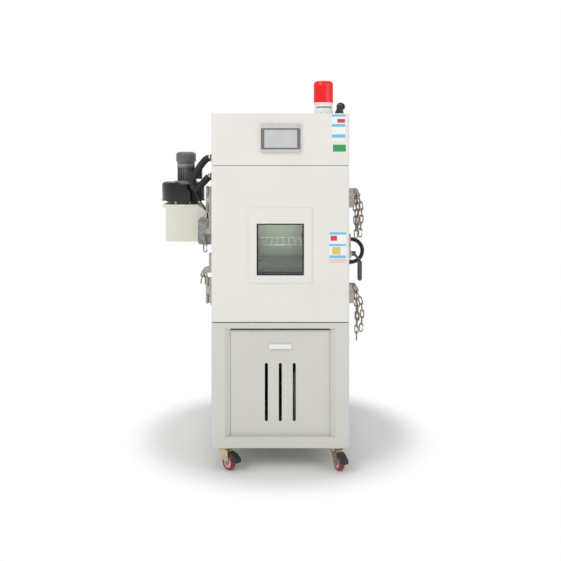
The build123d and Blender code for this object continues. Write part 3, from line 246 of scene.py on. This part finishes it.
def make_floor():
    """A pale floor that keeps the object's shadow and fades into the white backdrop."""
    bpy.ops.mesh.primitive_circle_add(vertices=64, radius=30, fill_type="NGON")
    floor = bpy.context.object
    floor.name = "floor"
    material = bpy.data.materials.new("floor")
    material.use_nodes = True
    tree = material.node_tree
    tree.nodes.clear()
    output = tree.nodes.new("ShaderNodeOutputMaterial")
    mix = tree.nodes.new("ShaderNodeMixShader")
    ground = tree.nodes.new("ShaderNodeBsdfDiffuse")
    ground.inputs["Color"].default_value = (0.9, 0.9, 0.9, 1)
    white = tree.nodes.new("ShaderNodeEmission")
    white.inputs["Color"].default_value = (1, 1, 1, 1)
    geometry = tree.nodes.new("ShaderNodeNewGeometry")
    away = tree.nodes.new("ShaderNodeVectorMath")
    away.operation = "LENGTH"
    fade = tree.nodes.new("ShaderNodeMapRange")
    fade.interpolation_type = "SMOOTHSTEP"
    fade.inputs["From Min"].default_value = 0.60
    fade.inputs["From Max"].default_value = 0.88
    tree.links.new(geometry.outputs["Position"], away.inputs[0])
    tree.links.new(away.outputs["Value"], fade.inputs["Value"])
    tree.links.new(fade.outputs["Result"], mix.inputs["Fac"])
    tree.links.new(ground.outputs["BSDF"], mix.inputs[1])
    tree.links.new(white.outputs["Emission"], mix.inputs[2])
    tree.links.new(mix.outputs["Shader"], output.inputs["Surface"])
    floor.data.materials.append(material)


def make_world():
    """White to the camera, and an even soft light for everything else."""
    world = bpy.data.worlds.new("studio")
    bpy.context.scene.world = world
    world.use_nodes = True
    tree = world.node_tree
    tree.nodes.clear()
    output = tree.nodes.new("ShaderNodeOutputWorld")
    path = tree.nodes.new("ShaderNodeLightPath")
    soft = tree.nodes.new("ShaderNodeBackground")
    soft.inputs["Color"].default_value = (0.97, 0.985, 1, 1)
    soft.inputs["Strength"].default_value = 0.5
    white = tree.nodes.new("ShaderNodeBackground")
    white.inputs["Color"].default_value = (1, 1, 1, 1)
    mix = tree.nodes.new("ShaderNodeMixShader")
    tree.links.new(path.outputs["Is Camera Ray"], mix.inputs["Fac"])
    tree.links.new(soft.outputs["Background"], mix.inputs[1])
    tree.links.new(white.outputs["Background"], mix.inputs[2])
    tree.links.new(mix.outputs["Shader"], output.inputs["Surface"])


def area_light(name, place, target, size, power, colour=(1, 1, 1)):
    """A square light that faces a target."""
    light = bpy.data.lights.new(name, "AREA")
    light.shape = "SQUARE"
    light.size = size
    light.energy = power
    light.color = colour
    lamp = bpy.data.objects.new(name, light)
    bpy.context.scene.collection.objects.link(lamp)
    lamp.location = place
    lamp.rotation_euler = (Vector(target) - Vector(place)).to_track_quat("-Z", "Y").to_euler()


def make_camera():
    """A level camera in front, shifted down so that upright edges stay upright as in the photograph."""
    data = bpy.data.cameras.new("camera")
    camera = bpy.data.objects.new("camera", data)
    bpy.context.scene.collection.objects.link(camera)
    camera.location = (0.001, -4.325, 1.55)
    camera.rotation_euler = (math.radians(90), 0, 0)
    data.sensor_width = 36.0
    data.lens = 49.57
    data.shift_y = -0.2219
    bpy.context.scene.camera = camera


make_floor()
make_world()
make_camera()
area_light("key", (-2.6, -3.4, 3.6), (0, -0.3, 0.9), 2.4, 78, (1, 0.985, 0.96))
area_light("fill", (3.2, -2.8, 2.2), (0, -0.2, 0.9), 2.6, 34, (0.96, 0.98, 1))
area_light("top", (0, 0.4, 4.4), (0, 0, 1.0), 2.6, 42)
bpy.context.scene.view_settings.view_transform = "Standard"


def add_mesh(name, part, look, body, smooth=None):
    """A mesh piece that rides on a body.

    Its material is the one made for the look. Edges bent by less than smooth, in degrees, shade smooth.
    """
    points, faces = part
    mesh = bpy.data.meshes.new(name)
    mesh.from_pydata([tuple(p) for p in points], [], faces)
    mesh.update()
    made = bpy.data.objects.new(name, mesh)
    bpy.context.scene.collection.objects.link(made)
    mesh.materials.append(materials[look])
    clean = bmesh.new()
    clean.from_mesh(mesh)
    bmesh.ops.recalc_face_normals(clean, faces=clean.faces)
    clean.to_mesh(mesh)
    clean.free()
    if smooth:
        mesh.shade_smooth()
        mesh.set_sharp_from_angle(angle=math.radians(smooth))
    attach(made, body)
    return made


def join(parts):
    """Several (points, faces) as one."""
    points, faces = [], []
    for some_points, some_faces in parts:
        base = len(points)
        points += [Vector(p) for p in some_points]
        faces += [[base + i for i in face] for face in some_faces]
    return points, faces


def moved(part, matrix):
    """A part with its points put through a matrix."""
    return [matrix @ Vector(p) for p in part[0]], part[1]


def turned(part, degrees):
    """A part turned about Z."""
    return moved(part, Matrix.Rotation(math.radians(degrees), 4, "Z"))


def at_centre(part, centre):
    """A part moved from the Z axis to an upright axis through (x, y)."""
    return moved(part, Matrix.Translation((*centre, 0)))


def facing(direction, place):
    """The matrix that turns +Z to a direction and moves the origin to a place."""
    return Matrix.Translation(Vector(place)) @ Vector(direction).to_track_quat("Z", "Y").to_matrix().to_4x4()


def round_steps(count):
    """The angles of count equal steps round a circle."""
    return [2 * math.pi * step / count for step in range(count)]


def band(first, second, count):
    """The quads between two rings of points that start at two indices."""
    return [[first + i, first + (i + 1) % count, second + (i + 1) % count, second + i] for i in range(count)]


def tube_faces(rows, sides, closed):
    """The faces over rows of points, joined end to end or with a cap at each end."""
    faces = []
    for row in range(rows if closed else rows - 1):
        faces += band(row * sides, (row + 1) % rows * sides, sides)
    if not closed:
        faces.append(list(range(sides))[::-1])
        faces.append([(rows - 1) * sides + step for step in range(sides)])
    return faces


def ring_sweep(path, radius, sides=12, closed=False):
    """A tube of round section along points. radius is a number or one for each point."""
    count = len(path)
    path = [Vector(p) for p in path]
    points = []
    up = Vector((0, 1, 0))
    for index, here in enumerate(path):
        before = path[index - 1] if index or closed else here
        after = path[(index + 1) % count] if index < count - 1 or closed else here
        along = (after - before).normalized()
        side = along.cross(up).normalized()
        up = side.cross(along).normalized()
        size = radius[index] if isinstance(radius, (list, tuple)) else radius
        points += [here + size * (math.cos(turn) * side + math.sin(turn) * up) for turn in round_steps(sides)]
    return points, tube_faces(count, sides, closed)


def lathe(outline, sides=48, closed=False):
    """A turned form about Z from (radius, height) pairs."""
    points = [Vector((radius * math.cos(turn), radius * math.sin(turn), height))
              for radius, height in outline for turn in round_steps(sides)]
    return points, tube_faces(len(outline), sides, closed)


def ring_part(inner, outer, low, high, sides=48):
    """A flat ring about Z."""
    return lathe([(outer, low), (outer, high), (inner, high), (inner, low)], sides, closed=True)


def hex_nut(radius, height):
    """A six-sided nut on z = 0 with its corners turned off at both ends."""
    inner = radius * 0.93
    return lathe([(inner, 0.0), (radius, height * 0.18), (radius, height * 0.82), (inner, height)], 6)


def box_part(low, high):
    """The six faces of a block between two corners."""
    points = [Vector((x, y, z)) for z in (low[2], high[2]) for x, y in
              ((low[0], low[1]), (high[0], low[1]), (high[0], high[1]), (low[0], high[1]))]
    return points, [[0, 3, 2, 1], [4, 5, 6, 7], [0, 1, 5, 4], [1, 2, 6, 5], [2, 3, 7, 6], [3, 0, 4, 7]]


def rounded_outline(width, height, radius, steps=5):
    """The corners of a rounded rectangle about the origin, anticlockwise."""
    found = []
    for side_x, side_z, start in ((1, 1, 0), (-1, 1, 90), (-1, -1, 180), (1, -1, 270)):
        for step in range(steps + 1):
            turn = math.radians(start + 90 * step / steps)
            found.append((side_x * (width / 2 - radius) + radius * math.cos(turn),
                          side_z * (height / 2 - radius) + radius * math.sin(turn)))
    return found


def plate(x, z, width, height, back, thick, radius):
    """A rounded plate in the XZ plane whose back is at y = back; it comes thick towards the front."""
    outline = rounded_outline(width, height, radius)
    points = [Vector((x + px, y, z + pz)) for y in (back, back - thick) for px, pz in outline]
    return points, tube_faces(2, len(outline), closed=False)


def frame_plate(x, z, outer, inner, back, thick, radius):
    """A flat frame between two rounded rectangles, in the XZ plane."""
    outside = rounded_outline(*outer, radius)
    inside = rounded_outline(*inner, radius * 0.5)
    points = [Vector((x + px, y, z + pz)) for y in (back, back - thick) for px, pz in outside + inside]
    count = len(outside)
    corners = [0, count, 3 * count, 2 * count]
    faces = []
    for first, second in zip(corners, corners[1:] + corners[:1]):
        faces += band(first, second, count)
    return points, faces


def screw_head(radius, height, turn):
    """A domed head with a raised cross on it, standing on z = 0."""
    rows = [(radius, 0.0), (radius, height * 0.35), (radius * 0.82, height * 0.8), (radius * 0.45, height)]
    reach, arm = radius * 0.62, radius * 0.11
    bar = box_part((-reach, -arm, height * 0.4), (reach, arm, height * 1.02))
    return join([lathe(rows, 20), turned(bar, turn), turned(bar, turn + 90)])


def screws(name, body, places, radius=0.0042):
    """One mesh of screw heads: places are (point, direction)."""
    parts = [moved(screw_head(radius, radius * 0.55, 37.0 * number), facing(direction, place))
             for number, (place, direction) in enumerate(places)]
    return add_mesh(name, join(parts), "zinc", body, smooth=35)


def link_part(opening=0.0):
    """A round-wire link in the XZ plane, long along Z. With an opening it is a hook with a spring gate."""
    half = (LINK_LENGTH - LINK_WIDTH) / 2
    reach = (LINK_WIDTH - LINK_WIRE) / 2
    path = []
    for end, start in ((1, 0), (-1, 180)):
        for step in range(9):
            turn = math.radians(start + 180 * step / 8)
            path.append(Vector((reach * math.cos(turn), 0, end * half + reach * math.sin(turn))))
    if not opening:
        return ring_sweep(path, LINK_WIRE / 2, closed=True)
    hook = [Vector((reach, 0, opening / 2))] + path + [Vector((reach, 0, -opening / 2))]
    wire = [LINK_WIRE * 0.42] + [LINK_WIRE / 2] * len(path) + [LINK_WIRE * 0.3]
    gate = [Vector((reach + 0.0006, 0, -opening / 2 - 0.004)),
            Vector((reach - 0.0014, 0, opening / 2 + 0.003))]
    return join([ring_sweep(hook, wire), ring_sweep(gate, LINK_WIRE * 0.2, 8)])


def strand_part(pin, side, y_offset, angles, hook):
    """The links of one strand from its pin down. Each leans outward from the vertical by its angle."""
    pitch = LINK_LENGTH - 2 * LINK_WIRE - LINK_PLAY
    half_bar = (LINK_LENGTH - LINK_WIRE) / 2
    rise = PIN_RADIUS + SEAT_GAP + LINK_WIRE / 2
    first = math.radians(angles[0])
    x, z = pin[0] - side * rise * math.sin(first), pin[1] + rise * math.cos(first)
    parts = []
    for index, angle in enumerate(angles):
        lean = math.radians(angle)
        step_x, step_z = side * math.sin(lean), -math.cos(lean)
        roll = Matrix.Rotation(math.radians(90 if index % 2 else 0), 4, "Z")
        tilt = Matrix.Rotation(math.radians(-side * angle), 4, "Y")
        place = Matrix.Translation((x + step_x * half_bar, CHAIN_Y + y_offset, z + step_z * half_bar))
        last = hook and index == len(angles) - 1
        parts.append(moved(link_part(HOOK_OPENING if last else 0.0), place @ tilt @ roll))
        x, z = x + step_x * pitch, z + step_z * pitch
    return parts


# Each chain: its side, its pin (x, z), and its strands as (y from the pin's middle, the links' angles)
CHAINS = {
    "upper_right_chain": (1, (0.380, 1.377), [(-0.0045, [-8, -3, 2, 3, 3, 2, 2]),
                                              (-0.027, [10, 8, 4, 0, -3, -3]),
                                              (0.027, [4, 12, 8, -2, -6, -4]),
                                              (0.0045, [28, 18, 10, 2, -4, -5, -4])]),
    "lower_right_chain": (1, (0.372, 0.897), [(-0.0045, [-6, 8, 12, 6, 0, -2, 0, 0]),
                                              (-0.027, [14, 10, 6, 0, -4, -4]),
                                              (0.0045, [27, 24, 17, 8, 0, -6, -6])]),
    "upper_left_chain": (-1, (-0.368, 1.170), [(0.0, [14, 6, 0])]),
    "lower_left_chain": (-1, (-0.380, 0.975), [(-0.0045, [-6, 0]), (0.0045, [26, 12])]),
}
for chain, (side, pin, strands) in CHAINS.items():
    parts = []
    for number, (y_offset, angles) in enumerate(strands):
        parts += strand_part(pin, side, y_offset, angles, hook=number == len(strands) - 1)
    links = add_mesh(f"{chain}_links", join(parts), "chain_zinc", chain, 60)
    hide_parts(chain)

# The operator panel's dark film round the screen and the lighter bands above and below it
hmi_film = frame_plate(HMI_X, SCREEN_Z, (0.193, 0.104), (0.162, 0.089), HMI_FACE_Y, 0.0005, 0.002)
add_mesh("hmi_film", hmi_film, "film", "cabinet", 40)
for name, z, height in (("hmi_top_band", TOP_BAND_Z, 0.0195), ("hmi_bottom_band", BOTTOM_BAND_Z, 0.0145)):
    hmi_band = plate(HMI_X, z, 0.190, height, HMI_FACE_Y, 0.0004, 0.003)
    add_mesh(name, hmi_band, "bezel_band", "cabinet", 40)

# The soft lines round the outer and the inner window pane
for name, inside, back, thick in (("window_seal", (0.2190, 0.2410), FRONT_Y - 0.0001, 0.0026),
                                  ("window_inner_seal", (0.2210, 0.2430), INNER_PANE_Y, 0.0024)):
    seal = frame_plate(0, WINDOW_Z, (0.2328, 0.2548), inside, back, thick, 0.004)
    add_mesh(name, seal, "black_rubber", "door", smooth=40)

# Blank stickers: plain bands of colour with nothing written on them.
# Each row is the place, body and colour, then its ends in x and in z, and the layer that it lies on
HEAD_X, DOOR_X = (0.2535, 0.3195), (0.2410, 0.3235)
STICKER_ROWS = [
    ("head", "cabinet", "white", HEAD_X, (1.624, 1.754), 0),
    ("head", "cabinet", "cyan", HEAD_X, (1.7440, 1.7540), 1),
    ("head", "cabinet", "red", (0.2805, 0.3180), (1.7140, 1.7325), 1),
    ("head", "cabinet", "cyan", HEAD_X, (1.6935, 1.7075), 1),
    ("head", "cabinet", "cyan", HEAD_X, (1.6400, 1.6565), 1),
    ("head", "cabinet", "green", (0.2590, 0.3225), (1.5715, 1.6060), 0),
    ("door", "door", "white", DOOR_X, (1.0230, 1.1770), 0),
    ("door", "door", "cyan", DOOR_X, (1.1635, 1.1750), 1),
    ("door", "door", "cyan", DOOR_X, (1.1070, 1.1170), 1),
    ("door", "door", "red", (0.2470, 0.2790), (1.1330, 1.1580), 1),
    ("door", "door", "yellow", (0.2560, 0.2960), (1.0650, 1.1020), 1),
    ("door", "door", "cyan", DOOR_X, (1.0480, 1.0610), 1),
    ("door", "door", "pink", DOOR_X, (1.0240, 1.0440), 1),
]
for number, (place, body, colour, (x0, x1), (z0, z1), layer) in enumerate(STICKER_ROWS):
    back = FRONT_Y - 0.00002 - 0.0002 * layer
    sticker = plate((x0 + x1) / 2, (z0 + z1) / 2, x1 - x0, z1 - z0, back, 0.00018, 0.0012)
    add_mesh(f"{place}_sticker_{number}", sticker, f"sticker_{colour}", body)


def make_lens():
    """The beacon's fluted lens: an outer skin with upright flutes and a plain inner one."""
    base, radius, wall, sides = ROOF_Z + 0.060, 0.049, 0.0024, 144
    rows = [(0.0, 1.0), (0.088, 1.0)]
    for step in range(1, 9):
        turn = math.pi / 16 * step
        rows.append((0.092 + 0.018 * math.sin(turn), 1 - 0.36 * (1 - math.cos(turn))))
    points, faces = [], []
    for outer, inset in ((True, 0.0), (False, wall)):
        first = len(points)
        for z, share in rows:
            for step, turn in enumerate(round_steps(sides)):
                flute = 0.0011 if outer and step % 3 == 0 and 0.004 < z < 0.09 else 0.0
                size, height = radius * share - inset - flute, base + max(0, z - inset)
                points.append(Vector((size * math.cos(turn), size * math.sin(turn), height)))
        for row in range(len(rows) - 1):
            faces += band(first + row * sides, first + (row + 1) * sides, sides)
        faces.append([len(points) - sides + step for step in range(sides)])
    faces += band(len(rows) * sides, 0, sides)
    return points, faces


lens = add_mesh("beacon_lens_fluted", at_centre(make_lens(), BEACON), "red_lens", "cabinet", smooth=35)
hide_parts("beacon_lens")


def arc_strip(radius, low, high, start, end, thick=0.0008, steps=24):
    """A thin curved strip on an upright round face about Z, between two angles in degrees."""
    points, faces = [], []
    for step in range(steps + 1):
        turn = math.radians(start + (end - start) * step / steps)
        points += [Vector((size * math.cos(turn), size * math.sin(turn), z))
                   for size in (radius, radius + thick) for z in (low, high)]
    for step in range(steps):
        a, b = 4 * step, 4 * step + 4
        faces += [[a, b, b + 1, a + 1], [a + 2, a + 3, b + 3, b + 2], [a + 1, b + 1, b + 3, a + 3],
                  [a, a + 2, b + 2, b]]
    faces += [[0, 1, 3, 2], [4 * steps, 4 * steps + 2, 4 * steps + 3, 4 * steps + 1]]
    return points, faces


def beacon_screw(number, angle):
    """A small screw on the beacon's base ring, facing out at an angle in degrees."""
    turn = math.radians(angle)
    out = Vector((math.cos(turn), math.sin(turn), 0))
    place = BEACON_RING_RADIUS * out + Vector((0, 0, ROOF_Z + 0.009))
    return moved(screw_head(0.003, 0.0016, 30 * number), facing(out, place))


# A black strip on the beacon's base: painted shade standing in for the dark inside of its curved slot
beacon_slot_painted_shade = arc_strip(BEACON_SLOT_RADIUS, *BEACON_SLOT_Z, 215, 325)
add_mesh("beacon_slot_painted_shade", at_centre(beacon_slot_painted_shade, BEACON), "black_plastic", "cabinet", smooth=30)
beacon_screws = join([beacon_screw(number, angle) for number, angle in enumerate((250, 290, 20, 140))])
add_mesh("beacon_screws", at_centre(beacon_screws, BEACON), "zinc", "cabinet", smooth=35)

# Blower: the motor's flange, the band under the cowl and the fan grille
flange = ring_part(MOTOR_RADIUS, FLANGE_RADIUS, *FLANGE_Z)
add_mesh("motor_flange_face", at_centre(flange, BLOWER), "cast_grey", "cabinet", 30)
collar_band = ring_part(MOTOR_RADIUS, MOTOR_RADIUS + 0.0008, *COLLAR_BAND_Z)
add_mesh("cowl_band", at_centre(collar_band, BLOWER), "tan_band", "cabinet", 30)
grille = [ring_part(radius, radius + 0.0016, COWL_TOP_Z, COWL_TOP_Z + 0.0017, 40)
          for radius in (0.008, 0.015, 0.022, 0.029, 0.035)]
spoke = box_part((-0.036, -0.0009, COWL_TOP_Z + 0.0001), (0.036, 0.0009, COWL_TOP_Z + 0.0012))
grille += [turned(spoke, angle) for angle in range(0, 180, 45)]
add_mesh("cowl_grille", at_centre(join(grille), BLOWER), "motor_paint", "cabinet", smooth=35)

# The two unions of the coolant hose on the left side
for name, z, look in (("upper", UPPER_UNION_Z, "union_blue"), ("lower", LOWER_UNION_Z, "union_red")):
    nut = moved(hex_nut(0.0205, 0.0125), facing((-1, 0, 0), (-HALF_WIDTH - 0.0008, HOSE_Y, z)))
    add_mesh(f"{name}_union_nut", nut, look, "cabinet", 30)
    outline = [(0.0148, 0.0), (0.0154, 0.001), (0.0154, 0.004), (0.0148, 0.005), (0.0148, 0.0084)]
    collar = moved(lathe(outline, 32), facing((-1, 0, 0), (-HALF_WIDTH - 0.0134, HOSE_Y, z)))
    add_mesh(f"{name}_union_collar", collar, "brass", "cabinet", 35)

# The clips round the foot of the scroll housing
clips = []
for angle in (200, 250, 300, 340):
    turn = math.radians(angle)
    clip = turned(box_part((-0.006, -0.0012, 0), (0.006, 0.0012, 0.0125)), angle + 90)
    place = (SCROLL_X + SCROLL_RADIUS * math.cos(turn), BLOWER[1] + SCROLL_RADIUS * math.sin(turn), SCROLL_Z)
    clips.append(moved(clip, Matrix.Translation(place)))
add_mesh("scroll_clips", join(clips), "zinc", "cabinet")


def make_sleeve():
    """The corrugated sleeve between its two glands: a half ring whose radius rises and falls."""
    start_x, y, z = SLEEVE_START
    rings = 132
    path, sizes = [], []
    for step in range(rings + 1):
        turn = math.pi * step / rings
        path.append((start_x + SLEEVE_BEND * math.sin(turn), y, z + SLEEVE_BEND * math.cos(turn)))
        sizes.append((0.0104, 0.0101, 0.0089, 0.0101)[step % 4])
    parts = [ring_sweep(path, sizes, 16)]
    for end in (1, -1):
        place = facing((1, 0, 0), (HALF_WIDTH, y, z + end * SLEEVE_BEND))
        parts.append(moved(hex_nut(0.0169, 0.008), place))
        gland = lathe([(0.0122, 0.008), (0.0124, 0.010), (0.0124, 0.017), (0.0112, 0.0189)], 32)
        parts.append(moved(gland, place))
    return join(parts)


sleeve = add_mesh("corrugated_sleeve", make_sleeve(), "black_rubber", "cabinet", smooth=50)
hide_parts("side_conduit")

# Screws on sheet parts
LEFT, RIGHT, BACK, FRONT, DOWN = (-1, 0, 0), (1, 0, 0), (0, 1, 0), (0, -1, 0), (0, 0, -1)
screws("junction_screws", "cabinet",
       [((x, JUNCTION_LID_Y, z), FRONT) for x in (-0.408, -0.350) for z in (1.116, 1.222)], 0.0035)
screws("hinge_screws", "cabinet",
       [((HINGE_FACE_X, y, z), LEFT) for y in (-0.440, -0.408)
        for z in LOWER_HINGE_Z + UPPER_HINGE_Z])
screws("door_hinge_screws", "door",
       [((HINGE_FACE_X, y, z), LEFT) for y in (-0.502, -0.474)
        for z in LOWER_HINGE_Z[::2] + UPPER_HINGE_Z[::2]])
screws("latch_screws", "door",
       [((LATCH_FACE_X, y, z), RIGHT) for y in (-0.502, -0.478) for z in (1.052, 1.110, 1.154)], 0.0035)
screws("rear_screws", "cabinet",
       [((x, REAR_Y, z), BACK) for x in (-0.322, 0.322) for z in (0.200, 0.500, 0.800, 1.100, 1.400, 1.720)] +
       [((x, REAR_Y, z), BACK) for x in (-0.110, 0.110) for z in (0.190, 1.730)])
screws("side_screws", "cabinet",
       [((side * HALF_WIDTH, y, z), out) for side, out in ((-1, LEFT), (1, RIGHT))
        for y in (-0.20, 0.15, 0.50) for z in (0.190, 0.700, 1.300, 1.735)])

# Casters: pale hub faces, axle nuts and plate bolts. Each caster stands at its own turn, in degrees
CASTER_TURNS = {"front_left": 45.0, "front_right": 22.0, "rear_left": 60.0, "rear_right": 75.0}
bolts = []
for place, turn in CASTER_TURNS.items():
    x = -CASTER_X if place.endswith("left") else CASTER_X
    y = -CASTER_Y if place.startswith("front") else CASTER_Y
    fork_frame = Matrix.Translation((x, y, 0)) @ Matrix.Rotation(math.radians(turn), 4, "Z")
    spoke = box_part((-0.0016, 0.0126, 0.0015), (0.0016, 0.0258, 0.0028))
    face = ring_part(0.0124, 0.0262, 0.0, 0.0016, 40)
    hub = join([face] + [turned(spoke, angle) for angle in range(0, 360, 60)])
    hubs, nuts = [], []
    for side in (-1, 1):
        hub_place = facing((side, 0, 0), (side * HUB_FACE_X, -CASTER_TRAIL, WHEEL_RADIUS))
        nut_place = facing((side, 0, 0), (side * AXLE_END_X, -CASTER_TRAIL, WHEEL_RADIUS))
        hubs.append(moved(hub, fork_frame @ hub_place))
        nuts.append(moved(hex_nut(0.0082, 0.0042), fork_frame @ nut_place))
    add_mesh(f"caster_hub_{place}", join(hubs), "hub_white", f"caster_wheel_{place}", 35)
    add_mesh(f"axle_nuts_{place}", join(nuts), "zinc", f"caster_fork_{place}", smooth=35)
    bolts += [((x + side_x * PLATE_BOLT_X, y + side_y * PLATE_BOLT_Y, PLATE_BOLT_Z), DOWN)
              for side_x in (-1, 1) for side_y in (-1, 1)]
screws("caster_bolts", "cabinet", bolts, 0.005)
